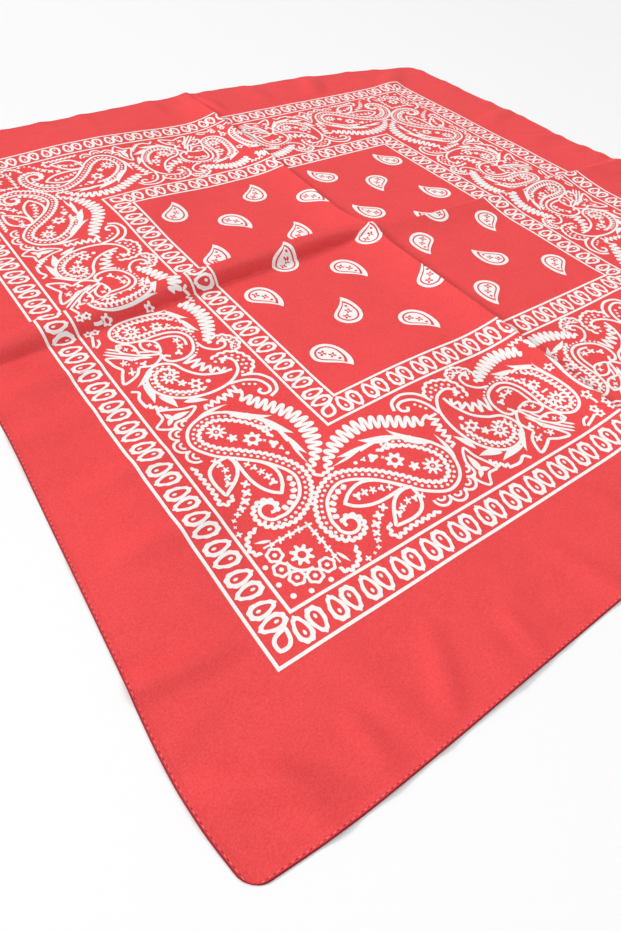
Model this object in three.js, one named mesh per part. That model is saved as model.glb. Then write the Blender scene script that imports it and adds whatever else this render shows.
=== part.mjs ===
// A square printed bandana, spread out flat with its fold lines still standing.
// Millimetres, +Z up. The origin is at the middle of the cloth's outline, on the
// surface that it lies on. -X,-Y is the corner nearest the viewer.

import * as THREE from 'three';

// Driving sizes
const CLOTH_HALF = 274; // half the side of the hemmed square, before its edges draw in
const HEM_WIDTH = 3; // width of the hem that is turned under on each side
const SEAM_GAP = 0.4; // space between pieces that meet at a seam
const CORNER_RADIUS = 7; // rounding of the four corners
const PANEL_WALL = 1.2; // wall of the single layer of cloth
const HEM_WALL = 1.7; // wall of the turned hem, three layers
const EDGE_WARP_WIDTH = 90; // strip inside each edge that follows the edge's drawn-in line

const CLOTH_RED = 0xe23c46;
const HEM_RED = 0xd4353f;
const CLOTH_ROUGHNESS = 0.85;

// Stations of the cloth's grid: coarse ones over the flat cloth, fine ones over a fold
const COARSE_STATIONS = 10;
const FOLD_STATIONS = [-26, -21, -17, -14, -11.5, -9, -6.5, -4.2, -2, 0, 1.2, 2.5, 4, 6, 8.5, 12];
const FOLD_FADE_START = 18; // the grid follows a fold's line up to here from its crest
const FOLD_FADE_END = 80; // and is straight again from here

// Outline: how far each edge reaches from the middle, at places along the edge
const WEST_EDGE = [
  { at: -274, reach: 268.6 },
  { at: -250, reach: 272 },
  { at: -226, reach: 272.7 },
  { at: -186, reach: 270.3 },
  { at: -111, reach: 266.3 },
  { at: -56, reach: 263.5 },
  { at: 10, reach: 263 },
  { at: 110, reach: 264 },
  { at: 200, reach: 266 },
  { at: 274, reach: 263 },
];
const SOUTH_EDGE = [
  { at: -274, reach: 272.4 },
  { at: -239, reach: 274.8 },
  { at: -194, reach: 275 },
  { at: -94, reach: 273.4 },
  { at: 0, reach: 272.6 },
  { at: 110, reach: 273 },
  { at: 210, reach: 273.6 },
  { at: 274, reach: 269 },
];
const EAST_EDGE = [
  { at: -274, reach: 266 },
  { at: -200, reach: 269.7 },
  { at: -90, reach: 271.7 },
  { at: -2, reach: 272.7 },
  { at: 59, reach: 268.6 },
  { at: 112, reach: 269.6 },
  { at: 189, reach: 265.6 },
  { at: 249, reach: 264 },
  { at: 274, reach: 261 },
];
const NORTH_EDGE = [
  { at: -274, reach: 259 },
  { at: -224, reach: 264.8 },
  { at: -151, reach: 267.8 },
  { at: -74, reach: 271.4 },
  { at: 12, reach: 275 },
  { at: 86, reach: 270.6 },
  { at: 131, reach: 268.4 },
  { at: 206, reach: 260.4 },
  { at: 240, reach: 254 },
  { at: 274, reach: 249.5 },
];

// The fold that runs along Y: the line of its crest, its height, and the widths of
// its long slope (towards -X) and its steep slope (towards +X). A sharp foot is 1
// where the long slope meets the flat cloth in a crease, and 0 where it runs out.
const FOLD_ALONG_Y = [
  { at: -274, crest: 0, rise: 2.6, before: 34, after: 6, sharpFoot: 0 },
  { at: -200, crest: 1, rise: 4.2, before: 36, after: 5.5, sharpFoot: 0 },
  { at: -115, crest: 2.4, rise: 5.4, before: 38, after: 5.5, sharpFoot: 0 },
  { at: -20, crest: 3.6, rise: 5.2, before: 36, after: 5.5, sharpFoot: 0 },
  { at: 5, crest: 6.5, rise: 5, before: 33, after: 5.5, sharpFoot: 0 },
  { at: 35, crest: 1.8, rise: 4.2, before: 32, after: 5, sharpFoot: 0 },
  { at: 75, crest: 3.8, rise: 3.7, before: 32, after: 5, sharpFoot: 0 },
  { at: 113, crest: 6.6, rise: 3.4, before: 32, after: 5, sharpFoot: 0 },
  { at: 218, crest: 8.5, rise: 4.8, before: 30, after: 6, sharpFoot: 0 },
  { at: 274, crest: 12, rise: 2, before: 24, after: 7, sharpFoot: 0 },
];

// The fold that runs along X: its long slope is towards -Y, its steep slope towards +Y
const FOLD_ALONG_X = [
  { at: -274, crest: 8, rise: 5, before: 16, after: 8, sharpFoot: 1 },
  { at: -222, crest: 12, rise: 6.2, before: 16.5, after: 7, sharpFoot: 1 },
  { at: -118, crest: 12.8, rise: 7.2, before: 11.6, after: 6, sharpFoot: 1 },
  { at: -70, crest: 14.4, rise: 6.9, before: 12.6, after: 6, sharpFoot: 1 },
  { at: -12, crest: 12, rise: 6.3, before: 9.5, after: 6, sharpFoot: 0.9 },
  { at: 10, crest: 5, rise: 5.5, before: 12, after: 6.5, sharpFoot: 0.5 },
  { at: 40, crest: 0, rise: 4.6, before: 24, after: 7, sharpFoot: 0 },
  { at: 110, crest: -1.8, rise: 4.1, before: 34, after: 7.5, sharpFoot: 0 },
  { at: 218, crest: -4.5, rise: 3.8, before: 34, after: 8, sharpFoot: 0 },
  { at: 274, crest: -6, rise: 2.6, before: 28, after: 9, sharpFoot: 0 },
];

// Smaller folds and slow swells of the cloth: middle, height, half lengths along and
// across, and the turn of the long side from +X in degrees
const SWELLS = [
  { x: -78, y: -138, rise: 3.6, along: 95, across: 62, turn: 25 },
  { x: -228, y: -140, rise: 2.6, along: 70, across: 42, turn: 80 },
  { x: -118, y: 108, rise: 2.4, along: 70, across: 45, turn: 20 },
  { x: -108, y: 214, rise: 3, along: 85, across: 50, turn: 0 },
  { x: -232, y: -31, rise: 1.7, along: 52, across: 7, turn: -3 },
  { x: 21, y: 252, rise: 1.8, along: 34, across: 6.5, turn: 101 },
  { x: -254, y: -199, rise: 2.1, along: 36, across: 10, turn: -8 },
  { x: -250, y: -246, rise: 1.9, along: 38, across: 14, turn: -32 },
  { x: 250, y: 61, rise: 1.9, along: 34, across: 8, turn: -22 },
  { x: 258, y: 31, rise: 1.6, along: 26, across: 8, turn: -22 },
  { x: 246, y: 112, rise: 2.2, along: 32, across: 14, turn: 12 },
  { x: 132, y: 248, rise: 2, along: 34, across: 15, turn: 62 },
  { x: 70, y: 250, rise: 1.8, along: 30, across: 14, turn: 104 },
  { x: 214, y: 226, rise: 2.2, along: 52, across: 16, turn: 40 },
  { x: 120, y: -150, rise: 2, along: 70, across: 45, turn: -20 },
  { x: 206, y: -226, rise: 2.2, along: 60, across: 26, turn: -38 },
  { x: -206, y: 206, rise: 2.2, along: 60, across: 28, turn: 132 },
];

function smoothStep(t) {
  const c = Math.min(Math.max(t, 0), 1);
  return c * c * (3 - 2 * c);
}

// Value of one column of a table at a place along it, on a smooth curve through the rows
function fromTable(table, at, column) {
  const last = table.length - 1;
  if (at <= table[0].at) return table[0][column];
  if (at >= table[last].at) return table[last][column];
  const i = table.findIndex((row) => row.at > at) - 1;
  const slope = (k) => {
    const a = table[Math.max(k - 1, 0)];
    const b = table[Math.min(k + 1, last)];
    return (b[column] - a[column]) / (b.at - a.at);
  };
  const span = table[i + 1].at - table[i].at;
  const t = (at - table[i].at) / span;
  const startWeight = (1 + 2 * t) * (1 - t) ** 2;
  const startSlope = t * (1 - t) ** 2 * span * slope(i);
  const endSlope = t * t * (t - 1) * span * slope(i + 1);
  return startWeight * table[i][column] + startSlope + (1 - startWeight) * table[i + 1][column] + endSlope;
}

// Cross-section of a fold, at a share t of the way from the crest to a slope's foot
const HOLLOW_FULLNESS = 0.25;
const STEEP_FULLNESS = 1.3;
const BELLY_POWER = 2.4;
function longSlope(t, sharpFoot) {
  const hollow = (1 - t) ** 2 * (1 + HOLLOW_FULLNESS * t);
  const belly = 1 - t ** BELLY_POWER;
  return hollow + sharpFoot * (belly - hollow);
}
function steepSlope(t) {
  return (1 - t) ** 2 * (1 + STEEP_FULLNESS * t);
}

function foldHeight(table, along, across) {
  const offset = across - fromTable(table, along, 'crest');
  const t = Math.abs(offset) / fromTable(table, along, offset < 0 ? 'before' : 'after');
  if (t >= 1) return 0;
  const share = offset < 0 ? longSlope(t, fromTable(table, along, 'sharpFoot')) : steepSlope(t);
  return share * fromTable(table, along, 'rise');
}

function swellHeight(swell, x, y) {
  const turn = THREE.MathUtils.degToRad(swell.turn);
  const dx = x - swell.x;
  const dy = y - swell.y;
  const along = (dx * Math.cos(turn) + dy * Math.sin(turn)) / swell.along;
  const across = (dy * Math.cos(turn) - dx * Math.sin(turn)) / swell.across;
  const r2 = along * along + across * across;
  return r2 < 1 ? swell.rise * (1 - r2) ** 2 : 0;
}

// Height of the cloth's underside above the surface that it lies on
function undersideHeight(x, y) {
  const folds = Math.hypot(foldHeight(FOLD_ALONG_Y, y, x), foldHeight(FOLD_ALONG_X, x, y));
  return SWELLS.reduce((height, swell) => height + swellHeight(swell, x, y), folds);
}

const NORMAL_STEP = 0.4;
function undersideNormal(x, y) {
  const riseX = undersideHeight(x + NORMAL_STEP, y) - undersideHeight(x - NORMAL_STEP, y);
  const riseY = undersideHeight(x, y + NORMAL_STEP) - undersideHeight(x, y - NORMAL_STEP);
  return new THREE.Vector3(-riseX, -riseY, 2 * NORMAL_STEP).normalize();
}

// How much of a fold's sideways shift the grid takes, at a distance from the fold
function nearFold(station) {
  return 1 - smoothStep((Math.abs(station) - FOLD_FADE_START) / (FOLD_FADE_END - FOLD_FADE_START));
}

// How much of an edge's drawn-in line the grid takes, at a distance from the middle
function nearEdge(station) {
  return smoothStep((Math.abs(station) - CLOTH_HALF + EDGE_WARP_WIDTH) / EDGE_WARP_WIDTH);
}

// Place on the plane of a grid point (s, t) of the unwarped square
function planPoint(s, t) {
  const sideX = s < 0 ? WEST_EDGE : EAST_EDGE;
  const sideY = t < 0 ? SOUTH_EDGE : NORTH_EDGE;
  const pullX = (fromTable(sideX, t, 'reach') - CLOTH_HALF) * nearEdge(s) * Math.sign(s);
  const pullY = (fromTable(sideY, s, 'reach') - CLOTH_HALF) * nearEdge(t) * Math.sign(t);
  const shiftX = nearFold(s) * fromTable(FOLD_ALONG_Y, t, 'crest');
  const shiftY = nearFold(t) * fromTable(FOLD_ALONG_X, s, 'crest');
  return { x: s + pullX + shiftX, y: t + pullY + shiftY };
}

// Point of the cloth at a height inside the wall, measured square to the underside
function wallPoint(s, t, lift) {
  const { x, y } = planPoint(s, t);
  const point = new THREE.Vector3(x, y, undersideHeight(x, y));
  return lift > 0 ? point.addScaledVector(undersideNormal(x, y), lift) : point;
}

// Stations from one edge of the panel to the other, one of them where a corner's arc starts
const CORNER_START = CLOTH_HALF - CORNER_RADIUS;
function stationsTo(reach) {
  const foldStart = FOLD_STATIONS[0];
  const foldEnd = FOLD_STATIONS[FOLD_STATIONS.length - 1];
  const stations = [];
  for (let i = 0; i < COARSE_STATIONS; i += 1) {
    stations.push(-reach + ((reach + foldStart) * i) / COARSE_STATIONS);
  }
  stations.splice(1, 0, -CORNER_START);
  stations.push(...FOLD_STATIONS);
  for (let i = 1; i <= COARSE_STATIONS; i += 1) {
    stations.push(foldEnd + ((reach - foldEnd) * i) / COARSE_STATIONS);
  }
  stations.splice(-1, 0, CORNER_START);
  return stations;
}

// Mesh of a solid whose corner points and triangles are given
function solidMesh(name, points, triangles, color) {
  const geometry = new THREE.BufferGeometry().setFromPoints(points);
  geometry.setIndex(triangles.flat());
  geometry.computeVertexNormals();
  const material = new THREE.MeshStandardMaterial({ color, roughness: CLOTH_ROUGHNESS, metalness: 0 });
  const mesh = new THREE.Mesh(geometry, material);
  mesh.name = name;
  return mesh;
}

// The single layer of cloth inside the hems: a wall with an upper and an under face
const PANEL_HALF = CLOTH_HALF - HEM_WIDTH - SEAM_GAP;
function clothPanel() {
  const stations = stationsTo(PANEL_HALF);
  const side = stations.length;
  const layer = side * side;
  const points = [];
  for (const lift of [0, PANEL_WALL]) {
    for (const t of stations) {
      for (const s of stations) points.push(wallPoint(s, t, lift));
    }
  }
  const under = (i, j) => j * side + i;
  const upper = (i, j) => layer + under(i, j);
  const triangles = [];
  const quad = (a, b, c, d) => triangles.push([a, b, c], [a, c, d]);
  const last = side - 1;
  for (let j = 0; j < last; j += 1) {
    for (let i = 0; i < last; i += 1) {
      quad(upper(i, j), upper(i + 1, j), upper(i + 1, j + 1), upper(i, j + 1));
      quad(under(i, j), under(i, j + 1), under(i + 1, j + 1), under(i + 1, j));
    }
  }
  for (let k = 0; k < last; k += 1) {
    quad(under(k, 0), under(k + 1, 0), upper(k + 1, 0), upper(k, 0));
    quad(under(last, k), under(last, k + 1), upper(last, k + 1), upper(last, k));
    quad(under(k + 1, last), under(k, last), upper(k, last), upper(k + 1, last));
    quad(under(0, k + 1), under(0, k), upper(0, k), upper(0, k + 1));
  }
  return solidMesh('cloth_panel', points, triangles, CLOTH_RED);
}

// Distance of the outer edge from the middle, drawn in round the corner's arc
function outerReach(t) {
  const into = Math.abs(t) - (CLOTH_HALF - CORNER_RADIUS);
  if (into <= 0) return CLOTH_HALF;
  return CLOTH_HALF - CORNER_RADIUS + Math.sqrt(CORNER_RADIUS ** 2 - into ** 2);
}

// Section of a hem: share of the way from the seam to the outer edge, and of the wall
const HEM_SECTION = [
  { out: 0, up: 0 },
  { out: 0.9, up: 0 },
  { out: 1, up: 0.5 },
  { out: 0.9, up: 1 },
  { out: 0, up: 1 },
];

// One turned hem, mitred at both ends. place(out, along) turns it to its side.
function turnedHem(name, place) {
  const innerReach = CLOTH_HALF - HEM_WIDTH;
  const mitreGap = SEAM_GAP / Math.SQRT2;
  const innerEnd = innerReach - mitreGap;
  const cornerEnd = CLOTH_HALF - CORNER_RADIUS * (1 - Math.SQRT1_2);
  const outerEnd = cornerEnd - mitreGap;
  const stations = stationsTo(PANEL_HALF).slice(1, -1);
  const inner = [-innerEnd, ...stations, innerEnd];
  const outer = [-outerEnd, ...stations, outerEnd];
  const points = [];
  inner.forEach((innerAlong, k) => {
    const outerAlong = outer[k];
    for (const { out, up } of HEM_SECTION) {
      const reach = innerReach + (outerReach(outerAlong) - innerReach) * out;
      const along = innerAlong + (outerAlong - innerAlong) * out;
      const [s, t] = place(reach, along);
      points.push(wallPoint(s, t, HEM_WALL * up));
    }
  });
  const ring = HEM_SECTION.length;
  const triangles = [];
  for (let k = 0; k < inner.length - 1; k += 1) {
    for (let i = 0; i < ring; i += 1) {
      const a = k * ring + i;
      const b = k * ring + ((i + 1) % ring);
      triangles.push([a, a + ring, b + ring], [a, b + ring, b]);
    }
  }
  const end = (inner.length - 1) * ring;
  for (let i = 1; i < ring - 1; i += 1) {
    triangles.push([0, i, i + 1], [end, end + i + 1, end + i]);
  }
  return solidMesh(name, points, triangles, HEM_RED);
}

const group = new THREE.Group();
group.add(clothPanel());
group.add(turnedHem('hem_near_left', (reach, along) => [-reach, -along]));
group.add(turnedHem('hem_near_right', (reach, along) => [along, -reach]));
group.add(turnedHem('hem_far_right', (reach, along) => [reach, along]));
group.add(turnedHem('hem_far_left', (reach, along) => [-along, reach]));

export default group;
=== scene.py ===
"""Looks of a square printed bandana spread flat: thin cloth with two standing folds,
turned and stitched hems, and a white paisley print. Sizes are in millimetres in the
cloth's own frame, and become metres when a mesh is made."""

import math

import bpy
import numpy as np
from mathutils import Matrix, Vector
from mathutils.geometry import delaunay_2d_cdt


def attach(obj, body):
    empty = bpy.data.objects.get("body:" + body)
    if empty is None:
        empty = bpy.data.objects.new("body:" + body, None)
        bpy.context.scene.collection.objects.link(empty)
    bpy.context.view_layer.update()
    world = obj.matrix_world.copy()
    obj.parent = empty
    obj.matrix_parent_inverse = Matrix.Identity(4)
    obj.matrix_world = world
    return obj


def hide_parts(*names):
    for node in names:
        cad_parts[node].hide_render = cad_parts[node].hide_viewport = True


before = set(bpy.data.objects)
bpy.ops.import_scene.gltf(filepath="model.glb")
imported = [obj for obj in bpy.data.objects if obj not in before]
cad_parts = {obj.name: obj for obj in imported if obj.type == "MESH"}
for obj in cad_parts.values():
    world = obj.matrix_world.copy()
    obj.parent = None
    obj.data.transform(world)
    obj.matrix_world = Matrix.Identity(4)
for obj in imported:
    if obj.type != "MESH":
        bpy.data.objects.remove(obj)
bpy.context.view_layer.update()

MM = 0.001

# Cloth
CLOTH_HALF = 274.0  # half the side of the hemmed square, before its edges draw in
HEM_WIDTH = 3.0
CORNER_RADIUS = 7.0
EDGE_WARP_WIDTH = 90.0  # strip inside each edge that follows its drawn-in line
CLOTH_THICKNESS = 0.35
CLEARANCE = 0.06  # under the cloth where it rests

# Outline: reach of each edge from the middle, at places along it
WEST_EDGE = (
    (-274, -250, -226, -186, -111, -56, 10, 110, 200, 274),
    (268.6, 272, 272.7, 270.3, 266.3, 263.5, 263, 264, 266, 263),
)
SOUTH_EDGE = (
    (-274, -239, -194, -94, 0, 110, 210, 274),
    (272.4, 274.8, 275, 273.4, 272.6, 273, 273.6, 269),
)
EAST_EDGE = (
    (-274, -200, -90, -2, 59, 112, 189, 249, 274),
    (266, 269.7, 271.7, 272.7, 268.6, 269.6, 265.6, 264, 261),
)
NORTH_EDGE = (
    (-274, -224, -151, -74, 12, 86, 131, 206, 240, 274),
    (259, 264.8, 267.8, 271.4, 275, 270.6, 268.4, 260.4, 254, 249.5),
)

# Standing folds: crest line, height and widths of the slopes before and after the crest.
# sharp_foot is 1 where the slope before the crest meets the flat cloth in a crease.
FOLD_ALONG_Y = {
    "at": (-274, -200, -115, -20, 5, 35, 75, 113, 218, 274),
    "crest": (0, 1, 2.4, 3.6, 6.5, 1.8, 3.8, 6.6, 8.5, 12),
    "rise": (2.6, 4.2, 5.4, 5.2, 5, 4.2, 3.7, 3.4, 4.8, 2),
    "before": (34, 36, 38, 36, 33, 32, 32, 32, 30, 24),
    "after": (4, 3.8, 3.8, 3.8, 3.8, 3.6, 3.6, 3.8, 4.2, 5),
    "sharp_foot": (0, 0, 0, 0, 0, 0, 0, 0, 0, 0),
}
FOLD_ALONG_X = {
    "at": (-274, -222, -118, -70, -12, 10, 40, 110, 218, 274),
    "crest": (8, 12, 12.8, 14.4, 12, 5, 0, -1.8, -4.5, -6),
    "rise": (5, 6.2, 7.2, 6.9, 6.3, 5.5, 4.6, 4.1, 3.8, 2.6),
    "before": (16, 16.5, 11.6, 12.6, 9.5, 12, 24, 34, 34, 28),
    "after": (8, 7, 6, 6, 6, 6.5, 7, 7.5, 8, 9),
    "sharp_foot": (1, 1, 1, 1, 0.9, 0.5, 0, 0, 0, 0),
}

# Slow swells and small creases: middle x, y, height, half lengths along and across, and turn
SWELLS = (
    (-78, -138, 3.6, 95, 62, 25),
    (-228, -140, 2.6, 70, 42, 80),
    (-118, 108, 2.4, 70, 45, 20),
    (-108, 214, 3, 85, 50, 0),
    (-232, -31, 1.7, 52, 7, -3),
    (21, 252, 1.8, 34, 6.5, 101),
    (-258, -200, 2.8, 34, 7, -8),
    (-247, -251, 2.6, 38, 8.5, -38),
    (250, 61, 1.9, 34, 8, -22),
    (258, 31, 1.6, 26, 8, -22),
    (246, 112, 2.2, 32, 14, 12),
    (132, 248, 2, 34, 15, 62),
    (70, 250, 1.8, 30, 14, 104),
    (214, 226, 2.2, 52, 16, 40),
    (120, -150, 2, 70, 45, -20),
    (206, -226, 2.2, 60, 26, -38),
    (-206, 206, 2.2, 60, 28, 132),
    (-232, -62, 1.1, 42, 9, -4),
    (-228, -106, 1.6, 38, 9.5, 4),
    (-230, -148, 1.6, 34, 9.5, -3),
    (-212, -258, 1.3, 18, 6, 98),
    (-174, -254, 1.5, 26, 8, 62),
    (-136, -258, 1.2, 18, 6, 84),
)


def smooth_step(t):
    c = np.clip(t, 0, 1)
    return c * c * (3 - 2 * c)


def smooth_table(places, values, at):
    """Value at a place, on a smooth curve through a short table."""
    places = np.asarray(places, float)
    values = np.asarray(values, float)
    before = np.r_[0, np.arange(len(places) - 1)]
    after = np.r_[np.arange(1, len(places)), len(places) - 1]
    slopes = (values[after] - values[before]) / (places[after] - places[before])
    at = np.clip(at, places[0], places[-1])
    i = np.clip(np.searchsorted(places, at, "right") - 1, 0, len(places) - 2)
    span = places[i + 1] - places[i]
    t = (at - places[i]) / span
    start = (1 + 2 * t) * (1 - t) ** 2
    bend = t * (1 - t) ** 2 * slopes[i] + t * t * (t - 1) * slopes[i + 1]
    return start * values[i] + (1 - start) * values[i + 1] + span * bend


# Section of a fold: fullness of its two slopes, and how late a belly drops
HOLLOW_FULLNESS = 0.25
STEEP_FULLNESS = 1.3
BELLY_POWER = 3.8


def fold_height(fold, along, across):
    column = {k: smooth_table(fold["at"], fold[k], along) for k in fold if k != "at"}
    offset = across - column["crest"]
    t = np.abs(offset) / np.where(offset < 0, column["before"], column["after"])
    t = np.clip(t, 0, 1)
    hollow = (1 - t) ** 2 * (1 + HOLLOW_FULLNESS * t)
    belly = 1 - t ** BELLY_POWER
    steep = (1 - t) ** 2 * (1 + STEEP_FULLNESS * t)
    slope = hollow + column["sharp_foot"] * (belly - hollow)
    return column["rise"] * np.where(offset < 0, slope, steep)


def swell_height(swell, x, y):
    middle_x, middle_y, rise, along, across, turn = swell
    c, s = math.cos(math.radians(turn)), math.sin(math.radians(turn))
    dx, dy = x - middle_x, y - middle_y
    r2 = ((dx * c + dy * s) / along) ** 2 + ((dy * c - dx * s) / across) ** 2
    return rise * np.clip(1 - r2, 0, None) ** 2


# Fine unevenness of the cloth: seeded slow waves, stronger in the margins
RIPPLES = 26
RIPPLE_HEIGHT = 0.05
RIPPLE_LENGTHS = (22, 75)
RIPPLE_FULL_LENGTH = 50.0  # a wave of this length has the height above
RIPPLE_FLAT = 3.0  # the cloth lies flat where the waves sum up to less than minus this
RIPPLE_IN_MIDDLE = 0.5  # strength, and what the margins add to it
RIPPLE_IN_MARGIN = 0.8
MARGIN_START = 190.0
MARGIN_WIDTH = 70.0
ripple_draws = np.random.default_rng(41)
RIPPLE_TURN = ripple_draws.uniform(0, math.pi, RIPPLES)
RIPPLE_LENGTH = ripple_draws.uniform(*RIPPLE_LENGTHS, RIPPLES)
RIPPLE_PHASE = ripple_draws.uniform(0, 2 * math.pi, RIPPLES)


def ripple_height(x, y):
    reach = np.maximum(np.abs(x), np.abs(y))
    strength = RIPPLE_IN_MIDDLE + RIPPLE_IN_MARGIN * smooth_step((reach - MARGIN_START) / MARGIN_WIDTH)
    waves = np.zeros_like(x)
    for turn, length, phase in zip(RIPPLE_TURN, RIPPLE_LENGTH, RIPPLE_PHASE):
        place = x * math.cos(turn) + y * math.sin(turn)
        waves += np.sin(2 * math.pi * place / length + phase) * length / RIPPLE_FULL_LENGTH
    return np.clip(RIPPLE_HEIGHT * strength * (waves + RIPPLE_FLAT), 0, None)


def quarter_turns(count):
    """Cosine and sine of a number of quarter turns."""
    angle = count * math.pi / 2
    return round(math.cos(angle)), round(math.sin(angle))


# Puckers that the hems' stitching draws into the margins
PUCKERS_A_SIDE = 17
PUCKER_LINE = 264.0  # distance of their middles from the middle of the cloth
PUCKER_SPAN = 258.0  # reach along a side
PUCKER_TURN = 24.0  # most degrees that one turns from square to its hem
PUCKER_REACH = 215.0  # puckers stay outside this distance from the middle


def pucker_table():
    draws = np.random.default_rng(7)
    rows = []
    for side in range(4):
        c, s = quarter_turns(side)
        for k in range(PUCKERS_A_SIDE):
            along = -PUCKER_SPAN + 2 * PUCKER_SPAN * (k + draws.uniform(0.1, 0.9)) / PUCKERS_A_SIDE
            x, y = along * c + PUCKER_LINE * s, along * s - PUCKER_LINE * c
            size = draws.uniform(0.4, 1.0)
            rise = 0.15 + 0.7 * size ** 2
            half_length = 16 + 26 * size
            half_width = 3.5 + 5.5 * size
            turn = 90 * side + 90 + draws.uniform(-PUCKER_TURN, PUCKER_TURN)
            rows.append((x, y, rise, half_length, half_width, turn))
    return rows


PUCKERS = pucker_table()


def pucker_height(x, y):
    height = np.zeros_like(x)
    margin = np.maximum(np.abs(x), np.abs(y)) > PUCKER_REACH
    if margin.any():
        for pucker in PUCKERS:
            height[margin] += swell_height(pucker, x[margin], y[margin])
    return height


def cloth_height(x, y):
    """Height of the cloth's underside above the surface it lies on."""
    along_y = fold_height(FOLD_ALONG_Y, y, x)
    along_x = fold_height(FOLD_ALONG_X, x, y)
    height = np.hypot(along_y, along_x) + ripple_height(x, y) + pucker_height(x, y)
    for swell in SWELLS:
        height = height + swell_height(swell, x, y)
    return height + CLEARANCE


NORMAL_STEP = 0.4


def cloth_normal(x, y):
    rise_x = cloth_height(x + NORMAL_STEP, y) - cloth_height(x - NORMAL_STEP, y)
    rise_y = cloth_height(x, y + NORMAL_STEP) - cloth_height(x, y - NORMAL_STEP)
    normal = np.stack([-rise_x, -rise_y, np.full_like(rise_x, 2 * NORMAL_STEP)], -1)
    return normal / np.linalg.norm(normal, axis=-1, keepdims=True)


FOLD_FADE_START = 18.0  # the grid follows a fold's line up to here from its crest
FOLD_FADE_END = 80.0  # and is straight from here


def near_fold(station):
    return 1 - smooth_step((np.abs(station) - FOLD_FADE_START) / (FOLD_FADE_END - FOLD_FADE_START))


def near_edge(station):
    return smooth_step((np.abs(station) - CLOTH_HALF + EDGE_WARP_WIDTH) / EDGE_WARP_WIDTH)


def plan_point(s, t):
    """Place on the plane of a grid point (s, t) of the unwarped square."""
    reach_x = np.where(s < 0, smooth_table(*WEST_EDGE, t), smooth_table(*EAST_EDGE, t))
    reach_y = np.where(t < 0, smooth_table(*SOUTH_EDGE, s), smooth_table(*NORTH_EDGE, s))
    pull_x = (reach_x - CLOTH_HALF) * near_edge(s) * np.sign(s)
    pull_y = (reach_y - CLOTH_HALF) * near_edge(t) * np.sign(t)
    shift_x = near_fold(s) * smooth_table(FOLD_ALONG_Y["at"], FOLD_ALONG_Y["crest"], t)
    shift_y = near_fold(t) * smooth_table(FOLD_ALONG_X["at"], FOLD_ALONG_X["crest"], s)
    return s + pull_x + shift_x, t + pull_y + shift_y


def cloth_point(s, t, lift):
    """Point at a height above the underside, square to the cloth."""
    x, y = plan_point(s, t)
    base = np.stack([x, y, cloth_height(x, y)], -1)
    return base + cloth_normal(x, y) * np.asarray(lift)[..., None]


SHARP_ANGLE = 50.0


def mesh_object(name, points, faces, material, smooth=True):
    """Object from points in millimetres."""
    mesh = bpy.data.meshes.new(name)
    mesh.from_pydata((np.asarray(points) * MM).tolist(), [], faces)
    mesh.validate()
    mesh.materials.append(material)
    mesh.polygons.foreach_set("use_smooth", [smooth] * len(mesh.polygons))
    mesh.set_sharp_from_angle(angle=math.radians(SHARP_ANGLE))
    mesh.update()
    piece = bpy.data.objects.new(name, mesh)
    bpy.context.scene.collection.objects.link(piece)
    return piece


# Camera
CAMERA_PLACE = (-288.8, -301.3, 226.6)
CAMERA_TURN = 49.32  # degrees from +X, seen from above
CAMERA_DIP = 47.88
CAMERA_ROLL = 6.294
LENS = 25.546
SENSOR = 36.0


def make_camera():
    data = bpy.data.cameras.new("camera")
    data.lens = LENS
    data.sensor_width = SENSOR
    data.clip_start = 0.01
    camera = bpy.data.objects.new("camera", data)
    bpy.context.scene.collection.objects.link(camera)
    turn, dip = math.radians(CAMERA_TURN), math.radians(CAMERA_DIP)
    ahead = Vector((math.cos(dip) * math.cos(turn), math.cos(dip) * math.sin(turn), -math.sin(dip)))
    level = ahead.cross(Vector((0, 0, 1))).normalized()
    above = level.cross(ahead)
    roll = math.radians(CAMERA_ROLL)
    right = level * math.cos(roll) + above * math.sin(roll)
    up = above * math.cos(roll) - level * math.sin(roll)
    rows = Matrix((right, up, -ahead)).transposed()
    camera.matrix_world = Matrix.Translation(Vector(CAMERA_PLACE) * MM) @ rows.to_4x4()
    bpy.context.scene.camera = camera


make_camera()


# Materials: each has a red or white and its shade, mixed by the weave and by slow patches
WARP_SCALE = 440.0
WEFT_SCALE = 410.0
SPECKLE_SCALE = 1300.0
PATCH_SCALE = 90.0
SPECKLE_CONTRAST = 4.6
SPECKLE_SHIFT = -1.8
WEAVE_RELIEF = 0.00018
WEAVE_STRENGTH = 0.35
CLOTH_ROUGHNESS = 0.5
CLOTH_GLOSS = 0.2


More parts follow.
